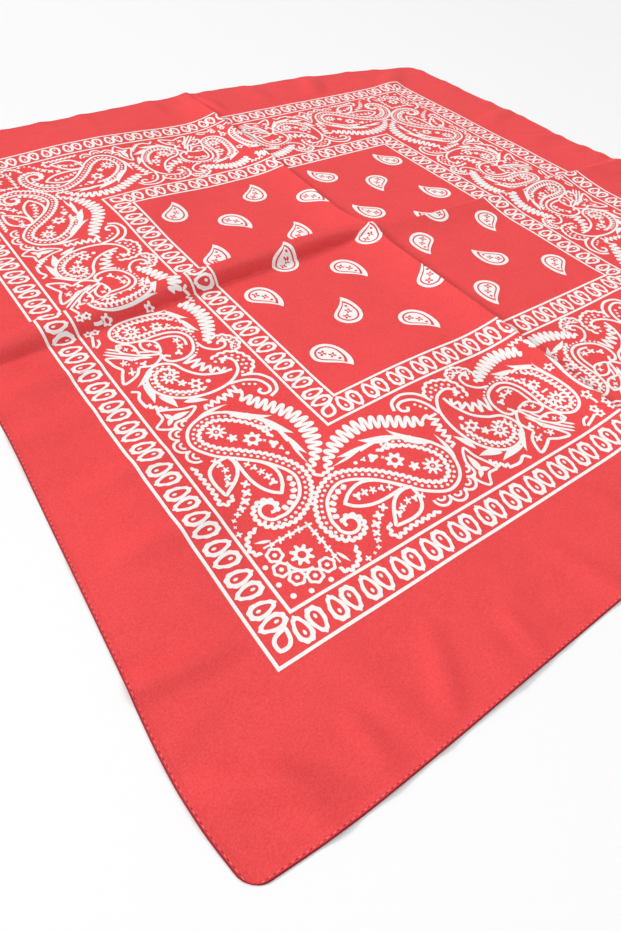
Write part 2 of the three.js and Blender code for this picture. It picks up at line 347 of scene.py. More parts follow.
def cloth_material(name, color, shade, weave=1.0):
    material = bpy.data.materials.new(name)
    material.use_nodes = True
    tree = material.node_tree
    nodes, links = tree.nodes, tree.links
    shader = nodes["Principled BSDF"]
    place = nodes.new("ShaderNodeTexCoord")

    def threads_along(direction, scale):
        node = nodes.new("ShaderNodeTexWave")
        node.wave_type = "BANDS"
        node.bands_direction = direction
        node.wave_profile = "SIN"
        node.inputs["Scale"].default_value = scale
        node.inputs["Distortion"].default_value = 1.2
        node.inputs["Detail"].default_value = 2.0
        node.inputs["Detail Scale"].default_value = 1.5
        links.new(place.outputs["Object"], node.inputs["Vector"])
        return node.outputs["Fac"]

    def noise(scale, rough):
        node = nodes.new("ShaderNodeTexNoise")
        node.inputs["Scale"].default_value = scale
        node.inputs["Detail"].default_value = 4.0
        node.inputs["Roughness"].default_value = rough
        links.new(place.outputs["Object"], node.inputs["Vector"])
        return node.outputs["Fac"]

    def math_node(operation, a, b):
        node = nodes.new("ShaderNodeMath")
        node.operation = operation
        for socket, value in zip(node.inputs, (a, b)):
            if isinstance(value, (int, float)):
                socket.default_value = value
            else:
                links.new(value, socket)
        return node.outputs[0]

    def mixed(a, share_a, b, share_b):
        return math_node("ADD", math_node("MULTIPLY", a, share_a), math_node("MULTIPLY", b, share_b))

    threads = mixed(threads_along("X", WARP_SCALE), 0.5, threads_along("Y", WEFT_SCALE), 0.5)
    contrast = math_node("MULTIPLY", noise(SPECKLE_SCALE, 0.75), SPECKLE_CONTRAST)
    grain = mixed(threads, 0.25, math_node("ADD", contrast, SPECKLE_SHIFT), 0.75)
    patches = mixed(noise(PATCH_SCALE, 0.7), 0.5, grain, 0.75)
    blend = nodes.new("ShaderNodeMix")
    blend.data_type = "RGBA"
    blend.inputs["A"].default_value = (*shade, 1)
    blend.inputs["B"].default_value = (*color, 1)
    links.new(patches, blend.inputs["Factor"])
    links.new(blend.outputs["Result"], shader.inputs["Base Color"])
    bump = nodes.new("ShaderNodeBump")
    bump.inputs["Strength"].default_value = WEAVE_STRENGTH * weave
    bump.inputs["Distance"].default_value = WEAVE_RELIEF
    links.new(grain, bump.inputs["Height"])
    links.new(bump.outputs["Normal"], shader.inputs["Normal"])
    shader.inputs["Roughness"].default_value = CLOTH_ROUGHNESS
    shader.inputs["Specular IOR Level"].default_value = CLOTH_GLOSS
    return material


cloth_red = cloth_material("cloth_red", (0.90, 0.079, 0.08), (0.72, 0.044, 0.05))
# Deeper red of the hem's outer strip and underside: painted shade of the hem's curve.
hem_painted_shade_red = cloth_material("hem_painted_shade_red", (0.78, 0.053, 0.058), (0.61, 0.03, 0.037))
# Near-black red on the hem's rolled outer edge: painted shadow under the turned edge.
hem_edge_painted_shadow = cloth_material("hem_edge_painted_shadow", (0.3, 0.013, 0.022), (0.23, 0.01, 0.018))


# Cloth shell
COARSE_STEP = 3.3
FOLD_ZONE = (-27.5, 11.5)  # no coarse stations here
FOLD_STATIONS = ((-27, -16, 1.6), (-16, 8, 0.8), (8, 11.6, 1.2))  # start, end and step
EDGE_STATIONS = (0.5, 1.1, 1.8, 2.6, 3.6, 4.8)  # in from the edge
EDGE_CLEAR = 5.6  # no coarse stations nearer than this


def stations_to(reach):
    """Places across the cloth, close together at the folds and at the edges."""
    coarse = np.linspace(-reach, reach, int(2 * reach / COARSE_STEP))
    coarse = coarse[(coarse < FOLD_ZONE[0]) | (coarse > FOLD_ZONE[1])]
    ends = np.abs(coarse) > reach - EDGE_STATIONS[0]
    coarse = coarse[(np.abs(coarse) < reach - EDGE_CLEAR) | ends]
    fine = [np.arange(*row) for row in FOLD_STATIONS]
    rounding = reach - np.array(EDGE_STATIONS)
    return np.unique(np.r_[(coarse, *fine, rounding, -rounding, 0.0)])


PANEL_HALF = CLOTH_HALF - HEM_WIDTH
GRID = stations_to(PANEL_HALF)
UPPER_FACE = cloth_point(*np.meshgrid(GRID, GRID), np.full((len(GRID),) * 2, CLOTH_THICKNESS))


def cloth_panel():
    side = len(GRID)
    s, t = np.meshgrid(GRID, GRID)
    upper = UPPER_FACE.reshape(-1, 3)
    under = cloth_point(s, t, np.zeros_like(s)).reshape(-1, 3)
    index = np.arange(side * side).reshape(side, side)
    quads = np.stack([index[:-1, :-1], index[:-1, 1:], index[1:, 1:], index[1:, :-1]], -1)
    quads = quads.reshape(-1, 4)
    rim = np.r_[index[0, :], index[1:, -1], index[-1, -2::-1], index[-2::-1, 0]][:-1]
    layer = side * side
    ahead = np.roll(rim, -1)
    edges = np.stack([rim + layer, ahead + layer, ahead, rim], -1)
    faces = np.r_[quads, quads[:, ::-1] + layer, edges]
    return mesh_object("cloth_panel_soft", np.r_[upper, under], faces.tolist(), cloth_red)


panel = cloth_panel()
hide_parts("cloth_panel")
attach(panel, "root")


# Hems
HEM_SECTION = (  # out from the seam, and up from the underside
    (-0.12, 0.0),
    (2.5, 0.0),
    (2.84, 0.08),
    (2.98, 0.27),
    (2.86, 0.44),
    (2.4, 0.53),
    (2.15, 0.53),
    (2.0, 0.5),
    (1.85, 0.47),
    (1.7, 0.48),
    (1.1, 0.46),
    (0.5, 0.42),
    (0.1, 0.37),
    (-0.12, CLOTH_THICKNESS - 0.02),
)
# Faces 1 to 4 round the rolled edge carry the painted shadow, in the darkest red.
HEM_EDGE_FACES = (1, 4)  # first and last face round the section in the darkest red
HEM_INNER_FACE = 9  # from here the hem has the cloth's own red


def outer_reach(t):
    into = np.clip(np.abs(t) - (CLOTH_HALF - CORNER_RADIUS), 0, CORNER_RADIUS)
    return CLOTH_HALF - CORNER_RADIUS + np.sqrt(CORNER_RADIUS ** 2 - into ** 2)


def turned_hem(name, cad_name, place):
    outer_end = CLOTH_HALF - CORNER_RADIUS * (1 - math.sqrt(0.5))
    outer = np.r_[-outer_end, GRID[1:-1], outer_end]
    rings = []
    for out, up in HEM_SECTION:
        share = out / HEM_WIDTH
        along = GRID + (outer - GRID) * share
        reach = PANEL_HALF + (outer_reach(outer) - PANEL_HALF) * share
        s, t = place(reach, along)
        rings.append(cloth_point(s, t, np.full_like(along, up)))
    points = np.stack(rings, 1).reshape(-1, 3)
    ring = len(HEM_SECTION)
    count = len(GRID)
    index = np.arange(count * ring).reshape(count, ring)
    right = np.roll(index, -1, 1)
    faces = np.stack([index[:-1], index[1:], right[1:], right[:-1]], -1).reshape(-1, 4).tolist()
    faces.append(index[0].tolist())
    faces.append(index[-1, ::-1].tolist())
    hem = mesh_object(name, points, faces, hem_painted_shade_red)
    hem.data.materials.append(hem_edge_painted_shadow)
    hem.data.materials.append(cloth_red)
    # Slot 0 is the painted shade of the hem's curve, slot 1 the painted shadow of its rolled edge, slot 2
    # the cloth's own red.
    around = np.arange(len(faces)) % ring
    edge = (around >= HEM_EDGE_FACES[0]) & (around <= HEM_EDGE_FACES[1])
    shade = np.where(edge, 1, np.where(around >= HEM_INNER_FACE, 2, 0))
    hem.data.polygons.foreach_set("material_index", shade.astype(int))
    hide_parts(cad_name)
    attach(hem, "root")
    return hem


# Stitching
STITCH_OUT = 1.85  # place of the stitch line, out from the seam
STITCH_UP = 0.47
STITCH_SINK = 0.2  # how far a stitch's ends go down
STITCH_PITCH = 2.65
STITCH_LENGTH = 1.5
STITCH_RADIUS = 0.17
STITCH_SECTIONS = ((-0.5, 0.0), (-0.34, 1.0), (0.34, 1.0), (0.5, 0.0))  # share along, and fullness
STITCH_TIP = 0.15  # share of the radius at the ends
STITCH_ENDS_IN = 2.0  # the row ends this far in from the panel's corners
STITCH_AHEAD = 0.5  # step that gives a stitch's direction
THREAD_SIDES = 6
# Flat dark discs between the stitches: painted shade of the needle's punctures.
HOLE_SHADE_RADIUS = 0.26
HOLE_SHADE_UP = 0.5


def stitching(name, place):
    """Row of short stitches near a hem's outer edge, with flat dark discs between them as painted shade
    where the needle went through.
    """
    end = PANEL_HALF - STITCH_ENDS_IN
    along = np.arange(-end, end, STITCH_PITCH)
    reach = np.full_like(along, PANEL_HALF + STITCH_OUT)
    angles = [side * 2 * math.pi / THREAD_SIDES for side in range(THREAD_SIDES)]
    rings = []
    for shift, fullness in STITCH_SECTIONS:
        up = np.full_like(along, STITCH_UP - STITCH_SINK * (1 - fullness))
        middle = cloth_point(*place(reach, along + shift * STITCH_LENGTH), up)
        ahead = cloth_point(*place(reach, along + shift * STITCH_LENGTH + STITCH_AHEAD), up) - middle
        across = np.cross(ahead, (0, 0, 1))
        across /= np.linalg.norm(across, axis=1, keepdims=True)
        radius = STITCH_RADIUS * max(fullness, STITCH_TIP)
        for angle in angles:
            lift = np.array((0, 0, math.sin(angle) * radius))
            rings.append(middle + across * math.cos(angle) * radius + lift)
    stitches = np.stack(rings, 1).reshape(-1, 3)
    faces = []
    for start in range(0, len(stitches), len(rings)):
        for section in range(len(STITCH_SECTIONS) - 1):
            first = start + THREAD_SIDES * section
            for side in range(THREAD_SIDES):
                a, b = first + side, first + (side + 1) % THREAD_SIDES
                faces.append((a, b, b + THREAD_SIDES, a + THREAD_SIDES))
        faces.append(tuple(range(start + THREAD_SIDES - 1, start - 1, -1)))
        faces.append(tuple(range(start + len(rings) - THREAD_SIDES, start + len(rings))))
    thread_faces = len(faces)
    # Painted shade: a flat dark disc lies on the hem midway between two stitches.
    middle = cloth_point(*place(reach, along + STITCH_PITCH / 2), np.full_like(along, HOLE_SHADE_UP))
    rim = [middle + HOLE_SHADE_RADIUS * np.array((math.cos(angle), math.sin(angle), 0)) for angle in angles]
    hole_shade_discs = np.stack(rim, 1).reshape(-1, 3)
    for start in range(len(stitches), len(stitches) + len(hole_shade_discs), THREAD_SIDES):
        faces.append(tuple(range(start, start + THREAD_SIDES)))
    row = mesh_object(name, np.r_[stitches, hole_shade_discs], faces, thread_red_painted_highlight)
    row.data.materials.append(needle_hole_painted_shade)
    row.data.polygons.foreach_set("material_index", (np.arange(len(faces)) >= thread_faces).astype(int))
    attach(row, "root")


# Stitch thread lighter than the cloth: its red with a painted highlight of glossy thread.
thread_red_painted_highlight = cloth_material("thread_red_painted_highlight", (0.95, 0.2, 0.21), (0.85, 0.14, 0.15), weave=0.3)
# Near-black red of the discs between stitches: painted shade of the needle's punctures.
needle_hole_painted_shade = cloth_material("needle_hole_painted_shade", (0.4, 0.014, 0.024), (0.3, 0.01, 0.018), weave=0.3)
SIDES = (
    ("near_left", lambda r, a: (-r, -a)),
    ("near_right", lambda r, a: (a, -r)),
    ("far_right", lambda r, a: (r, a)),
    ("far_left", lambda r, a: (-a, r)),
)
hems = [turned_hem("turned_hem_" + side, "hem_" + side, place) for side, place in SIDES]
for side, place in SIDES:
    stitching("stitching_" + side, place)


# Print: art is a list of (sign, loop), 1 for ink and -1 for bare cloth, later ones over earlier ones
LINE = 1.5
BLEED = 0.13  # how far ink spreads into the weave beside a pen line
TAPER = 1.5  # length of a line's tapered end, in line widths
PEN_STEP = 0.7  # between the points of a drawn line
EVEN_STEP = 0.8
CURVE_EXCESS = 1.15  # length of a curve, as a share of its chord
LOBE_POINTS = 8
LEAF_POINTS = 11
WAVE_POINTS = 9
COMB_POINTS = 24
ARCH_POINTS = 8
LOBE_FULLNESS = 1.7
ARCH_POWER = 0.7  # below 1 an arch is fuller than a sine
LEAF_POWER = 0.8  # below 1 a leaf is widest before its middle


def curve(*points, step=PEN_STEP, closed=False):
    """Smooth line through points, evenly sampled."""
    p = np.asarray(points, float)
    if closed:
        p = np.r_[p[-1:], p, p[:2]]
    else:
        p = np.r_[2 * p[:1] - p[1:2], p, 2 * p[-1:] - p[-2:-1]]
    rows = []
    for a, b, c, d in zip(p[:-3], p[1:-2], p[2:-1], p[3:]):
        count = max(3, int(math.dist(b, c) / step * CURVE_EXCESS))
        t = np.arange(count)[:, None] / count
        rows.append(b + 0.5 * t * (c - a + t * (2 * a - 5 * b + 4 * c - d + t * (3 * (b - c) + d - a))))
    if not closed:
        rows.append(p[-2:-1])
    return np.concatenate(rows)


def bow(start, lead, trail, end, count=12):
    """Cubic bow between two points, without its last point."""
    t = np.arange(count)[:, None] / count
    start, lead, trail, end = (np.asarray(p, float) for p in (start, lead, trail, end))
    return start * (1 - t) ** 3 + 3 * lead * t * (1 - t) ** 2 + 3 * trail * t * t * (1 - t) + end * t ** 3


def arc(x, y, start_radius, end_radius, start, end, step=PEN_STEP):
    """Arc or spiral round a middle; angles in degrees."""
    sweep = abs(math.radians(end - start)) * (start_radius + end_radius) / 2
    t = np.linspace(0, 1, max(6, int(sweep / step)))
    angle = np.radians(start + (end - start) * t)
    radius = start_radius + (end_radius - start_radius) * t
    return np.stack([x + radius * np.cos(angle), y + radius * np.sin(angle)], 1)


def lengths(line):
    return np.r_[0, np.cumsum(np.linalg.norm(np.diff(line, axis=0), axis=1))]


def even(line, step):
    """The same line at an even step."""
    along = lengths(line)
    places = np.linspace(0, along[-1], max(3, int(round(along[-1] / step)) + 1))
    return np.stack([np.interp(places, along, line[:, k]) for k in (0, 1)], 1)


def portion(line, start, end):
    along = lengths(line) / lengths(line)[-1]
    places = np.linspace(start, end, max(4, int(len(line) * abs(end - start))))
    return np.stack([np.interp(places, along, line[:, k]) for k in (0, 1)], 1)


def normals(line):
    tangent = np.gradient(line, axis=0)
    tangent /= np.maximum(np.linalg.norm(tangent, axis=1, keepdims=True), 1e-9)
    return np.stack([-tangent[:, 1], tangent[:, 0]], 1)


def beside(line, distance):
    """Line at a distance to the left of another; the distance may vary along it."""
    return line + normals(line) * np.broadcast_to(distance, len(line))[:, None]


def area(loop):
    x, y = loop[:, 0], loop[:, 1]
    return 0.5 * np.sum(x * np.roll(y, -1) - y * np.roll(x, -1))


def inked(loop):
    return [(1, loop)]


def bare(loop):
    return [(-1, loop)]


UNTURNED = ((1, 0), (0, 1))
MIRROR = ((-1, 0), (0, 1))


def moved(art, matrix, shift=(0, 0)):
    matrix = np.asarray(matrix, float)
    return [(sign, loop @ matrix.T + shift) for sign, loop in art]


def stroke(line, width=LINE, start=1.0, end=1.0):
    """Pen line; start and end are the shares of its width left at its ends."""
    along = lengths(line)
    reach = np.clip(along / (TAPER * width), 0, 1)
    back = np.clip((along[-1] - along) / (TAPER * width), 0, 1)
    share = (start + (1 - start) * reach) * (end + (1 - end) * back)
    half = (width / 2 + BLEED) * share
    return inked(np.r_[beside(line, half), beside(line, -half)[::-1]])


def ring(loop, width=LINE):
    """Closed pen line."""
    wrapped = np.r_[loop[-1:], loop, loop[:1]]
    outward = -np.sign(area(loop)) * normals(wrapped)[1:-1] * (width / 2 + BLEED)
    return inked(loop + outward) + bare(loop - outward)


def petals(x, y, radius, count, depth, turn=90.0, stretch=1.0, lean=0.0):
    """Round blob with rounded lobes; depth is how far the lobes stand out."""
    points = LOBE_POINTS * max(count, 1)
    angle = (np.arange(points) + 0.5) * 2 * math.pi / points
    lobes = np.ones(points)
    if count > 1:
        lobes = np.tanh(LOBE_FULLNESS * np.cos(count * (angle - math.radians(turn))))
    reach = radius * (1 - depth + depth * lobes)
    along, across = reach * np.cos(angle), reach * np.sin(angle) * stretch
    c, s = math.cos(math.radians(lean)), math.sin(math.radians(lean))
    return np.stack([x + along * c - across * s, y + along * s + across * c], 1)


def disc(x, y, radius):
    return petals(x, y, radius, 1, 0)


def dot(x, y, radius=0.65):
    return inked(disc(x, y, radius + BLEED))


def dots(line, pitch=3.0, radius=0.6):
    art = []
    for x, y in even(line, pitch):
        art += dot(x, y, radius)
    return art


def blobs(places, size, turn, grow=0.0):
    """Small lobed blobs, one at each place."""
    art = []
    for k, (x, y) in enumerate(places):
        radius = size * (1 + grow * k) + BLEED
        art += inked(petals(x, y, radius, 3 + k % 3, 0.28, turn + 47 * k, 0.8, turn))
    return art


def flower(x, y, radius, count, hole, turn=90.0, depth=0.2):
    return inked(petals(x, y, radius + BLEED, count, depth, turn)) + bare(disc(x, y, hole))


def star(x, y, turn=90.0, radius=5.1):
    """Nine-petalled flower with a round eye and a dot in it."""
    return flower(x, y, radius, 9, radius * 0.3, turn, 0.24) + dot(x, y, 0.45)


def waved(line, pitch=3.0, height=0.7, sharp=0.0):
    """Line that waves to both sides; sharp squares the waves off into a comb."""
    line = even(line, pitch / (COMB_POINTS if sharp else WAVE_POINTS))
    along = lengths(line) / lengths(line)[-1]
    turns = max(1, round(lengths(line)[-1] / pitch))
    wave = np.sin(2 * math.pi * turns * along)
    if sharp:
        wave = np.tanh(sharp * wave) / math.tanh(sharp)
    heights = np.atleast_1d(height)
    reach = np.interp(along, np.linspace(0, 1, len(heights)), heights)
    return beside(line, reach * wave)


def scalloped(line, pitch, height):
    """Line of arches to the left of its path."""
    line = even(line, pitch / ARCH_POINTS)
    along = lengths(line)
    turns = max(1, round(along[-1] / pitch))
    return beside(line, height * np.abs(np.sin(math.pi * turns * along / along[-1])) ** ARCH_POWER)


def zigzag(line, pitch, start, end):
    """Jagged line; start and end are how far its points stand out."""
    places = even(line, pitch / 2)
    reach = np.linspace(start, end, len(places)) * (-1.0) ** np.arange(len(places))
    return even(beside(places, reach), 2 * EVEN_STEP)


def leaf_outline(tail, tip, width, bend=0.0):
    """Flame: both sides are arcs from its tail to its tip."""
    tail, tip = np.asarray(tail, float), np.asarray(tip, float)
    t = np.linspace(0, 1, LEAF_POINTS)[:, None]
    across = np.array([tail[1] - tip[1], tip[0] - tail[0]]) / math.dist(tail, tip)
    middle = tail + (tip - tail) * t + across * bend * 4 * t * (1 - t)
    half = across * width / 2 * np.sin(math.pi * t ** LEAF_POWER)
    return np.r_[middle + half, (middle - half)[-2:0:-1]]


def leaves(*rows):
    """Solid leaves, from their tails, tips, widths and bends."""
    art = []
    for row in rows:
        art += inked(leaf_outline(*row))
    return art


def leaf_line(tail, tip, width, bend=0.0, pen=LINE):
    """Leaf drawn as an outline."""
    loop = leaf_outline(tail, tip, width, bend)
    return ring(even(np.r_[loop, loop[:1]], EVEN_STEP)[:-1], pen)


def big_paisley():
    body = curve(
        (-127, -151.2), (-116, -151.2), (-105.5, -155), (-96, -164), (-91.2, -175), (-95.5, -187),
        (-106, -191.6), (-116.5, -186), (-124.5, -176.5), (-134, -167), (-146, -161), (-156.5, -165.5),
        (-162, -175), (-162.3, -181),
    )
    curl = arc(-156.6, -181.2, 5.9, 1.6, 186, 560)
    line = even(np.r_[body, curl], EVEN_STEP)
    share = np.linspace(0, 1, len(line))
    gap = 5.4 * np.clip((1.0 - share) / 0.17, 0.12, 1)
    art = stroke(line, 1.45)
    art += stroke(waved(beside(line, -gap)[8:-3], 3.1, 0.68), 1.4)
    art += dots(portion(beside(line, -0.5 * gap), 0.06, 0.86), 3.05, 0.72)
    art += stroke(curve((-118.5, -156.5), (-113.5, -155.2), (-110.5, -158.8)), 1.15)
    art += star(-103.8, -176.9)
    art += inked(petals(-111.3, -172.5, 2.8, 5, 0.22, 80))
    art += flower(-116.9, -164.8, 4.7, 7, 1.7, 80, 0.17)
    art += inked(petals(-124.6, -157.9, 3.0, 3, 0.2, 200, 0.85, 20))
    art += blobs([(-128.9, -156.3), (-120.6, -160.3)], 1.6, 20, -0.4) + dot(-133.2, -155.9, 0.95)
    return art + leaves(
        ((-124, -149.6), (-138.5, -148.2), 3.0, 1.0),
        ((-127, -150.5), (-143.5, -151.6), 1.6, 0.4),
        ((-106.5, -153.6), (-124, -145.6), 4.6, 1.3),
        ((-117, -150.6), (-131, -149.6), 2.0, 0.3),
        ((-93, -166.5), (-108.3, -147.6), 4.4, 2.4),
        ((-100, -157.5), (-114, -151), 2.0, 0.6),
        ((-91, -180), (-90, -162.3), 2.2, -0.8),
    )


def spiral_leaves():
    art = leaf_line((-151.8, -171.8), (-123, -179.2), 13, 2.4)
    seeds = [(-144.4, -171.4), (-140.4, -171.6), (-136.5, -172.6), (-132.6, -174), (-129.2, -175.6)]
    art += blobs(seeds, 2.5, 70, -0.06)
    art += leaf_line((-120.6, -180.6), (-140.4, -193.4), 12.5, 1.6)
    seeds = [(-134.8, -189), (-131.4, -187.3), (-127.2, -185.8), (-123.4, -186.4), (-119.9, -187.3)]
    art += blobs(seeds, 2.35, 60, -0.04)
    arch = curve((-159.4, -175.2), (-157.9, -170.9), (-154.4, -167.2), (-150.6, -164.9), (-146.6, -164))
    for k, (x, y) in enumerate(even(arch, 3.6)):
        art += inked(petals(x, y, 2.4, 2, 0.24, 90, 0.66, 70 - 24 * k))
    chain = (
        (-138.8, -182.6, 2.0), (-143.4, -184.9, 2.3), (-147.2, -188, 2.3), (-150, -191.6, 1.9),
        (-151.9, -194.8, 1.5), (-154, -197.8, 1.1), (-157.2, -199.2, 0.8), (-161.2, -199.8, 1.4),
    )
    for k, (x, y, size) in enumerate(chain):
        art += inked(petals(x, y, size * 1.15, 4, 0.26, 45 + 20 * k))
    tail = curve((-142, -190.6), (-144.6, -194.6), (-143.4, -198.2), (-136, -197.4), (-118.6, -197.8))
    art += stroke(waved(tail, 3.4, 0.8), 1.3)
    arches = ((-113, -194.6, -10), (-104.6, -196.6, 0), (-96.4, -194.4, 25), (-91.4, -188.6, 50))
    for x, y, turn in arches:
        art += stroke(arc(x, y + 1.5, 4.1, 4.1, 175 + turn, 365 + turn), 1.2)
        art += stroke(arc(x, y + 2.2, 1.9, 1.9, 180 + turn, 360 + turn), 1.0)
    return art


def long_comb():
    middle = curve(
        (-146, -151), (-141, -145.6), (-134, -141.2), (-125, -138.6), (-116, -138.4), (-109.3, -140.6),
        (-101.6, -145.4), (-95, -150), (-89, -153),
    )
    art = stroke(waved(middle, 4.2, (0.9, 2.4, 3.6, 4, 3.8, 3.6, 3.4, 2.6), 1.3), 1.6)
    return art + stroke(curve((-89, -153), (-86, -151.5), (-83.6, -151.4)), 1.4)


def tulip():
    cup = curve(
        (-87.2, -199.3), (-90, -197), (-91.4, -192.6), (-88.6, -189.6), (-88, -183), (-83.2, -176.6),
        (-81.6, -183), (-78, -190.6), (-77.8, -194), (-83, -194.2), closed=True,
    )
    return ring(cup, 1.2) + leaves(
        ((-85.6, -192), (-84.9, -180.4), 3.6, -0.3),
        ((-84.6, -190.2), (-88.8, -194.2), 2.6),
        ((-85.6, -190), (-80.2, -192.2), 2.8),
    )


def middle_paisley():
    line = curve(
        (-61.8, -148.2), (-58.4, -146.4), (-60.6, -142.6), (-65.4, -142), (-71.8, -145.2), (-77, -153.6),
        (-78.4, -166), (-75.2, -178), (-68, -186.2), (-59.3, -188.9), (-49.6, -185.6), (-46, -177.6),
        (-49.6, -170.6), (-57, -167.6), (-63.8, -162.4), (-67.8, -153.8), (-68.4, -146.4),
    )
    art = stroke(line, 1.45)
    art += stroke(waved(portion(beside(line, 4.3), 0.28, 0.72), 3.0, 0.68), 1.3)
    art += dots(portion(beside(line, 2.2), 0.34, 0.7), 3.1, 0.66)
    art += star(-58, -177.2, 70) + flower(-68.6, -168, 3.9, 6, 1.3, 60)
    art += inked(petals(-64.9, -173.7, 2.6, 5, 0.22, 40)) + dot(-70.2, -161.6, 1.3)
    art += leaves(
        ((-77.6, -180), (-82.6, -168.4), 3.4, -0.8),
        ((-67.6, -188.4), (-79.6, -184), 4.0, -1.2),
        ((-54.5, -190.4), (-71.4, -192.2), 4.0, -1.0),
        ((-45.6, -181), (-56.4, -194.4), 3.4, -1.2),
    )
    right = curve((-67, -149.5), (-63.6, -155.5), (-57, -160), (-49, -161.5))
    left = curve((-82.4, -152), (-84.6, -160), (-85.4, -168), (-86.6, -173.5))
    below = curve((-78, -189.4), (-74.6, -193.2), (-70.6, -196.4))
    art += stroke(zigzag(right, 4.6, 2.0, 5.0)) + stroke(zigzag(left, 4.0, 3.2, 1.6), 1.4)
    art += stroke(zigzag(below, 3.0, 1.8, 1.6), 1.3)
    art += stroke(curve((-71, -197), (-65, -197.4), (-60.4, -195.4), (-57.8, -198.4)), 1.4)
    return art


def dotted_fan():
    rim = curve(
        (-56.4, -151.4), (-55, -145), (-56.6, -138.6), (-62, -135.4), (-68, -134.6), (-72.6, -137.6),
        (-75.2, -141.4),
    )
    art = stroke(scalloped(rim, 4.2, -1.4)) + dots(beside(rim, 2.6), 3.5, 0.85)
    return art + dots(portion(beside(rim, 5.0), 0.2, 0.75), 3.6, 0.75)


def double_hook():
    outer = curve(
        (-96.3, -140.4), (-93.4, -135), (-86.6, -133), (-80.4, -135.4), (-76.8, -139.6), (-75, -144.8)
    )
    inner = curve(
        (-88.6, -141.6), (-90.2, -143.8), (-93, -142.2), (-92.6, -138.6), (-88.6, -137.2), (-82.6, -139.4),
        (-78.8, -145.6), (-77.4, -153.6),
    )
    return stroke(outer) + stroke(inner) + dots(curve((-84.4, -142.4), (-81.4, -147.4)), 3.4, 0.75)


def three_lobes():
    top = curve((-42.8, -186.6), (-45, -179), (-39.4, -172.2), (-36.4, -179), (-36, -186.4))
    left = curve((-43, -186.8), (-48.2, -190.6), (-51, -198.4), (-45.8, -197.2), (-40.4, -194.4))
    right = curve((-36, -186.6), (-32.4, -190.4), (-28.6, -197.9), (-34.6, -197.3), (-40.4, -194.4))
    art = stroke(top, 1.4) + stroke(left, 1.4) + stroke(right, 1.4)
    art += blobs([(-41.4, -183.2), (-44.8, -191.4), (-35.9, -191.8)], 2.5, 30)
    art += blobs([(-39, -186.2), (-41.6, -190.4), (-38, -190)], 0.9, 30)
    guide = curve((-37.4, -175), (-34, -182), (-29, -189), (-22.4, -196.4))
    for k in range(3):
        art += stroke(beside(guide, -2.3 + 2.4 * k)[2:], 1.1, 0.3, 0.3)
    return art


def end_paisley():
    line = curve(
        (-43, -168.4), (-41, -171.2), (-44, -172.4), (-47.4, -169), (-48, -162), (-44, -155.6),
        (-35, -152.2), (-28, -154), (-24, -160), (-23, -168), (-23, -177), (-20.4, -184.6), (-14, -188.6),
        (-7.6, -186.8), (-4, -181), (-3.2, -172), (-4.6, -161.6), (-8, -153.6), (-14, -149.6), (-20, -149.8),
    )
    art = stroke(line, 1.45)
    art += stroke(waved(portion(beside(line, 4.0), 0.42, 0.97), 3.0, 0.62), 1.3)
    art += dots(portion(beside(line, 2.0), 0.5, 0.98), 3.0, 0.65)
    art += stroke(portion(beside(line, -3.6), 0.16, 0.36), 1.3)
    art += dots(portion(beside(line, 2.2), 0.24, 0.4), 3.0, 0.6)
    art += blobs([(-42.2, -163.4), (-37.6, -160.2), (-32.4, -159.6)], 2.7, 15)
    art += star(-13.4, -176.8) + flower(-15.8, -163, 3.6, 7, 1.2)
    art += inked(petals(-14.4, -169.4, 2.4, 2, 0.35, 0, 0.7)) + blobs([(-18, -157.4)], 1.9, 60)
    art += leaf_line((-24, -176.8), (-37.6, -171.4), 8.4, -0.6, 1.2)
    art += blobs([(-31.6, -170.8), (-28.6, -173.8)], 1.9, 40)
    art += leaf_line((-20.6, -189), (-34.4, -182.4), 7.6, -0.8, 1.2)
    art += blobs([(-28.6, -182.8), (-26, -186), (-23, -188)], 1.7, 20)
    return art + leaves(
        ((-17.6, -148.2), (-31, -144.6), 3.4, 1.4),
        ((-5.4, -152.4), (-17.6, -144.2), 3.6, 1.6),
        ((-2.4, -170), (-5, -150.6), 2.2, 1.0),
    )


def short_comb():
    middle = curve(
        (-42.6, -146.4), (-36, -141.8), (-27.1, -137.8), (-18.6, -136), (-10.4, -137.4), (-3.4, -141)
    )
    return stroke(waved(middle, 3.7, (1.6, 3.0, 3.8, 3.8, 3.6, 3.0), 1.3))


def curl_fan():
    rim = curve(
        (-40.6, -141.4), (-41, -136.6), (-45, -132.8), (-49.6, -131.8), (-54, -134.6), (-55.2, -139.4)
    )
    art = stroke(scalloped(rim, 3.6, -1.2), 1.45)
    art += stroke(waved(portion(beside(rim, 3.0), 0.1, 0.85), 3.2, 0.6), 1.25)
    art += dots(portion(beside(rim, 1.2), 0.1, 0.9), 2.7, 0.5)
    hook = curve(
        (-40, -151.2), (-45.6, -149.6), (-50, -145), (-49.8, -139.8), (-46.4, -137.8), (-44.4, -140.4),
        (-46.4, -142.2),
    )
    return art + stroke(hook, 1.3)


def side_middle():
    """Small motifs on a side's middle line; drawn left of it and mirrored."""
    art = []
    for y in (-193.6, -197.6):
        art += flower(-4.4, y, 2.5, 5, 0.9, depth=0.16)
    art += stroke(curve((-17.4, -198.6), (-14.6, -195.6), (-11, -195)), 1.2)
    return art + stroke(curve((-16, -199.4), (-11, -197.8), (-7, -196.4)), 1.3)


def middle_flowers():
    art = flower(0, -184.6, 3.0, 5, 1.1) + stroke(curve((0, -187), (0.3, -190), (0, -192)), 1.1)
    art += flower(0, -159, 3.0, 5, 1.1)
    return art + stroke(zigzag(curve((-5, -134.2), (5, -134.2)), 3.4, 1.4, 1.4), 1.2)


CORNER = -183.3  # x and y of a corner's flower
ROSETTES_OUT = 11.2  # distance of the rosettes from its middle


